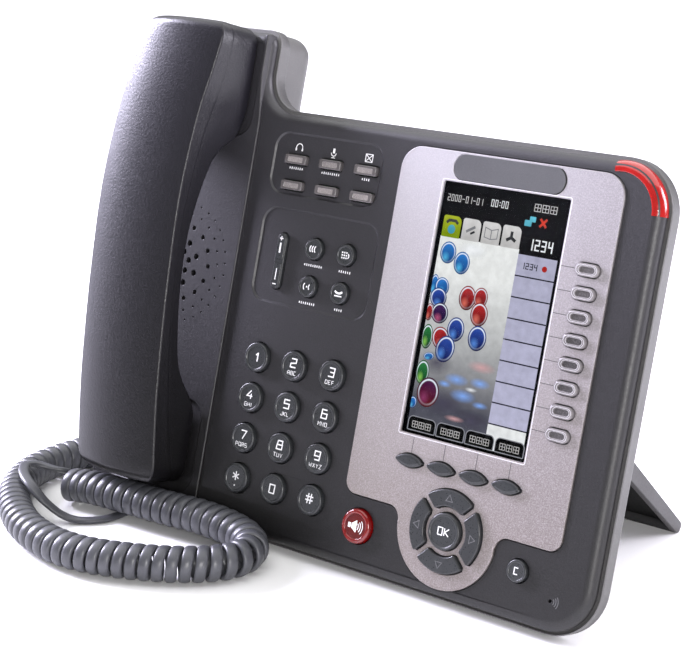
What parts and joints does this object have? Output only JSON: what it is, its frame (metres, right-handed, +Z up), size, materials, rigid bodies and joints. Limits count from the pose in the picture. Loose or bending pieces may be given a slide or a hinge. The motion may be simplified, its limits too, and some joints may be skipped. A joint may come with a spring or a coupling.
{
  "type": "desk ip phone",
  "caption": "Desk phone leaning back on a folding stand, with a colour display, number pad, function keys, a cradled handset and a curly cord",
  "frame": {"origin": "middle of the footprint without the cord, on the desk surface", "axes": "+X to the right of the user facing the phone, -Y towards the user, +Z up"},
  "size_m": [0.2842, 0.1891, 0.2052],
  "materials": {
    "front_cover": "fine moulded grain",
    "rear_cover": "fine moulded grain",
    "handset": "fine moulded grain",
    "stand": "fine moulded grain",
    "bezel": "satin silver paint with fine flake",
    "badge": "satin inlay",
    "window": "clear",
    "screen": "lit colour display",
    "corner_light": "clear red light pipe",
    "key_black": "satin",
    "line_key": "translucent",
    "menu_key": "translucent smoke",
    "speaker_key": "translucent red",
    "board": "solder mask",
    "loudspeaker": "paper cone",
    "cord": "satin cord jacket",
    "plug": "clear"
  },
  "bodies": {
    "body": {"front_cover": "front_cover", "rear_cover": "rear_cover", "display_bezel": "bezel", "badge_plate": "badge", "display_window": "window", "lcd_panel": "screen", "corner_light": "corner_light", "main_board": "board", "loudspeaker": "loudspeaker", "handset_cord_coil": "cord", "handset_cord_handset_lead": "cord", "handset_cord_base_lead": "cord", "base_plug": "plug"},
    "handset": {"handset_outer_shell": "handset", "handset_inner_shell": "handset", "handset_plug": "plug"},
    "hook_switch": {"hook_switch": "key_black"},
    "stand": {"stand_leg": "stand"},
    "key_1": {"key_1": "key_black"},
    "key_2": {"key_2": "key_black"},
    "key_3": {"key_3": "key_black"},
    "key_4": {"key_4": "key_black"},
    "key_5": {"key_5": "key_black"},
    "key_6": {"key_6": "key_black"},
    "key_7": {"key_7": "key_black"},
    "key_8": {"key_8": "key_black"},
    "key_9": {"key_9": "key_black"},
    "key_star": {"key_star": "key_black"},
    "key_0": {"key_0": "key_black"},
    "key_hash": {"key_hash": "key_black"},
    "line_key_1": {"line_key_1": "line_key"},
    "line_key_2": {"line_key_2": "line_key"},
    "line_key_3": {"line_key_3": "line_key"},
    "line_key_4": {"line_key_4": "line_key"},
    "line_key_5": {"line_key_5": "line_key"},
    "line_key_6": {"line_key_6": "line_key"},
    "line_key_7": {"line_key_7": "line_key"},
    "line_key_8": {"line_key_8": "line_key"},
    "soft_key_1": {"soft_key_1": "key_black"},
    "soft_key_2": {"soft_key_2": "key_black"},
    "soft_key_3": {"soft_key_3": "key_black"},
    "soft_key_4": {"soft_key_4": "key_black"},
    "nav_key_right": {"nav_key_right": "key_black"},
    "nav_key_up": {"nav_key_up": "key_black"},
    "nav_key_left": {"nav_key_left": "key_black"},
    "nav_key_down": {"nav_key_down": "key_black"},
    "ok_key": {"ok_key": "key_black"},
    "menu_key_1": {"menu_key_1": "menu_key"},
    "menu_key_2": {"menu_key_2": "menu_key"},
    "menu_key_3": {"menu_key_3": "menu_key"},
    "menu_key_4": {"menu_key_4": "menu_key"},
    "menu_key_5": {"menu_key_5": "menu_key"},
    "menu_key_6": {"menu_key_6": "menu_key"},
    "conference_key": {"conference_key": "key_black"},
    "redial_key": {"redial_key": "key_black"},
    "transfer_key": {"transfer_key": "key_black"},
    "hold_key": {"hold_key": "key_black"},
    "clear_key": {"clear_key": "key_black"},
    "speaker_key": {"speaker_key": "speaker_key"},
    "volume_rocker": {"volume_rocker": "key_black"}
  },
  "joints": [
    {"name": "handset_lift", "type": "slide", "parent": "body", "child": "handset", "axis": [0, -0.9613, 0.2756], "range_m": [0, 0.04]},
    {"name": "hook_switch_travel", "type": "slide", "parent": "body", "child": "hook_switch", "axis": [0, -0.9613, 0.2756], "range_m": [0, 0.002]},
    {"name": "stand_fold", "type": "hinge", "parent": "body", "child": "stand", "pos_m": [0, -0.00182, 0.0658], "axis": [-1, 0, 0], "range_deg": [0, 62]},
    {"name": "key_1_press", "type": "slide", "parent": "body", "child": "key_1", "axis": [0, 0.9613, -0.2756], "range_m": [0, 0.0012], "stiffness_N_per_m": 500},
    {"name": "key_2_press", "type": "slide", "parent": "body", "child": "key_2", "axis": [0, 0.9613, -0.2756], "range_m": [0, 0.0012], "stiffness_N_per_m": 500},
    {"name": "key_3_press", "type": "slide", "parent": "body", "child": "key_3", "axis": [0, 0.9613, -0.2756], "range_m": [0, 0.0012], "stiffness_N_per_m": 500},
    {"name": "key_4_press", "type": "slide", "parent": "body", "child": "key_4", "axis": [0, 0.9613, -0.2756], "range_m": [0, 0.0012], "stiffness_N_per_m": 500},
    {"name": "key_5_press", "type": "slide", "parent": "body", "child": "key_5", "axis": [0, 0.9613, -0.2756], "range_m": [0, 0.0012], "stiffness_N_per_m": 500},
    {"name": "key_6_press", "type": "slide", "parent": "body", "child": "key_6", "axis": [0, 0.9613, -0.2756], "range_m": [0, 0.0012], "stiffness_N_per_m": 500},
    {"name": "key_7_press", "type": "slide", "parent": "body", "child": "key_7", "axis": [0, 0.9613, -0.2756], "range_m": [0, 0.0012], "stiffness_N_per_m": 500},
    {"name": "key_8_press", "type": "slide", "parent": "body", "child": "key_8", "axis": [0, 0.9613, -0.2756], "range_m": [0, 0.0012], "stiffness_N_per_m": 500},
    {"name": "key_9_press", "type": "slide", "parent": "body", "child": "key_9", "axis": [0, 0.9613, -0.2756], "range_m": [0, 0.0012], "stiffness_N_per_m": 500},
    {"name": "key_star_press", "type": "slide", "parent": "body", "child": "key_star", "axis": [0, 0.9613, -0.2756], "range_m": [0, 0.0012], "stiffness_N_per_m": 500},
    {"name": "key_0_press", "type": "slide", "parent": "body", "child": "key_0", "axis": [0, 0.9613, -0.2756], "range_m": [0, 0.0012], "stiffness_N_per_m": 500},
    {"name": "key_hash_press", "type": "slide", "parent": "body", "child": "key_hash", "axis": [0, 0.9613, -0.2756], "range_m": [0, 0.0012], "stiffness_N_per_m": 500},
    {"name": "line_key_1_press", "type": "slide", "parent": "body", "child": "line_key_1", "axis": [0, 0.9613, -0.2756], "range_m": [0, 0.0008], "stiffness_N_per_m": 500},
    {"name": "line_key_2_press", "type": "slide", "parent": "body", "child": "line_key_2", "axis": [0, 0.9613, -0.2756], "range_m": [0, 0.0008], "stiffness_N_per_m": 500},
    {"name": "line_key_3_press", "type": "slide", "parent": "body", "child": "line_key_3", "axis": [0, 0.9613, -0.2756], "range_m": [0, 0.0008], "stiffness_N_per_m": 500},
    {"name": "line_key_4_press", "type": "slide", "parent": "body", "child": "line_key_4", "axis": [0, 0.9613, -0.2756], "range_m": [0, 0.0008], "stiffness_N_per_m": 500},
    {"name": "line_key_5_press", "type": "slide", "parent": "body", "child": "line_key_5", "axis": [0, 0.9613, -0.2756], "range_m": [0, 0.0008], "stiffness_N_per_m": 500},
    {"name": "line_key_6_press", "type": "slide", "parent": "body", "child": "line_key_6", "axis": [0, 0.9613, -0.2756], "range_m": [0, 0.0008], "stiffness_N_per_m": 500},
    {"name": "line_key_7_press", "type": "slide", "parent": "body", "child": "line_key_7", "axis": [0, 0.9613, -0.2756], "range_m": [0, 0.0008], "stiffness_N_per_m": 500},
    {"name": "line_key_8_press", "type": "slide", "parent": "body", "child": "line_key_8", "axis": [0, 0.9613, -0.2756], "range_m": [0, 0.0008], "stiffness_N_per_m": 500},
    {"name": "soft_key_1_press", "type": "slide", "parent": "body", "child": "soft_key_1", "axis": [0, 0.9613, -0.2756], "range_m": [0, 0.0008], "stiffness_N_per_m": 500},
    {"name": "soft_key_2_press", "type": "slide", "parent": "body", "child": "soft_key_2", "axis": [0, 0.9613, -0.2756], "range_m": [0, 0.0008], "stiffness_N_per_m": 500},
    {"name": "soft_key_3_press", "type": "slide", "parent": "body", "child": "soft_key_3", "axis": [0, 0.9613, -0.2756], "range_m": [0, 0.0008], "stiffness_N_per_m": 500},
    {"name": "soft_key_4_press", "type": "slide", "parent": "body", "child": "soft_key_4", "axis": [0, 0.9613, -0.2756], "range_m": [0, 0.0008], "stiffness_N_per_m": 500},
    {"name": "nav_key_right_press", "type": "slide", "parent": "body", "child": "nav_key_right", "axis": [0, 0.9613, -0.2756], "range_m": [0, 0.0009], "stiffness_N_per_m": 500},
    {"name": "nav_key_up_press", "type": "slide", "parent": "body", "child": "nav_key_up", "axis": [0, 0.9613, -0.2756], "range_m": [0, 0.0009], "stiffness_N_per_m": 500},
    {"name": "nav_key_left_press", "type": "slide", "parent": "body", "child": "nav_key_left", "axis": [0, 0.9613, -0.2756], "range_m": [0, 0.0009], "stiffness_N_per_m": 500},
    {"name": "nav_key_down_press", "type": "slide", "parent": "body", "child": "nav_key_down", "axis": [0, 0.9613, -0.2756], "range_m": [0, 0.0009], "stiffness_N_per_m": 500},
    {"name": "ok_key_press", "type": "slide", "parent": "body", "child": "ok_key", "axis": [0, 0.9613, -0.2756], "range_m": [0, 0.0009], "stiffness_N_per_m": 500},
    {"name": "menu_key_1_press", "type": "slide", "parent": "body", "child": "menu_key_1", "axis": [0, 0.9613, -0.2756], "range_m": [0, 0.0007], "stiffness_N_per_m": 500},
    {"name": "menu_key_2_press", "type": "slide", "parent": "body", "child": "menu_key_2", "axis": [0, 0.9613, -0.2756], "range_m": [0, 0.0007], "stiffness_N_per_m": 500},
    {"name": "menu_key_3_press", "type": "slide", "parent": "body", "child": "menu_key_3", "axis": [0, 0.9613, -0.2756], "range_m": [0, 0.0007], "stiffness_N_per_m": 500},
    {"name": "menu_key_4_press", "type": "slide", "parent": "body", "child": "menu_key_4", "axis": [0, 0.9613, -0.2756], "range_m": [0, 0.0007], "stiffness_N_per_m": 500},
    {"name": "menu_key_5_press", "type": "slide", "parent": "body", "child": "menu_key_5", "axis": [0, 0.9613, -0.2756], "range_m": [0, 0.0007], "stiffness_N_per_m": 500},
    {"name": "menu_key_6_press", "type": "slide", "parent": "body", "child": "menu_key_6", "axis": [0, 0.9613, -0.2756], "range_m": [0, 0.0007], "stiffness_N_per_m": 500},
    {"name": "conference_key_press", "type": "slide", "parent": "body", "child": "conference_key", "axis": [0, 0.9613, -0.2756], "range_m": [0, 0.0009], "stiffness_N_per_m": 500},
    {"name": "redial_key_press", "type": "slide", "parent": "body", "child": "redial_key", "axis": [0, 0.9613, -0.2756], "range_m": [0, 0.0009], "stiffness_N_per_m": 500},
    {"name": "transfer_key_press", "type": "slide", "parent": "body", "child": "transfer_key", "axis": [0, 0.9613, -0.2756], "range_m": [0, 0.0009], "stiffness_N_per_m": 500},
    {"name": "hold_key_press", "type": "slide", "parent": "body", "child": "hold_key", "axis": [0, 0.9613, -0.2756], "range_m": [0, 0.0009], "stiffness_N_per_m": 500},
    {"name": "clear_key_press", "type": "slide", "parent": "body", "child": "clear_key", "axis": [0, 0.9613, -0.2756], "range_m": [0, 0.0009], "stiffness_N_per_m": 500},
    {"name": "speaker_key_press", "type": "slide", "parent": "body", "child": "speaker_key", "axis": [0, 0.9613, -0.2756], "range_m": [0, 0.0012], "stiffness_N_per_m": 500},
    {"name": "volume_rocker_tilt", "type": "hinge", "parent": "body", "child": "volume_rocker", "pos_m": [-0.0403, -0.02043, 0.11155], "axis": [1, 0, 0], "range_deg": [-3.5, 3.5], "stiffness_Nm_per_rad": 0.05}
  ],
  "couplings": [
    {"joint": "hook_switch_travel", "follows": "handset_lift", "ratio": 0.05}
  ]
}
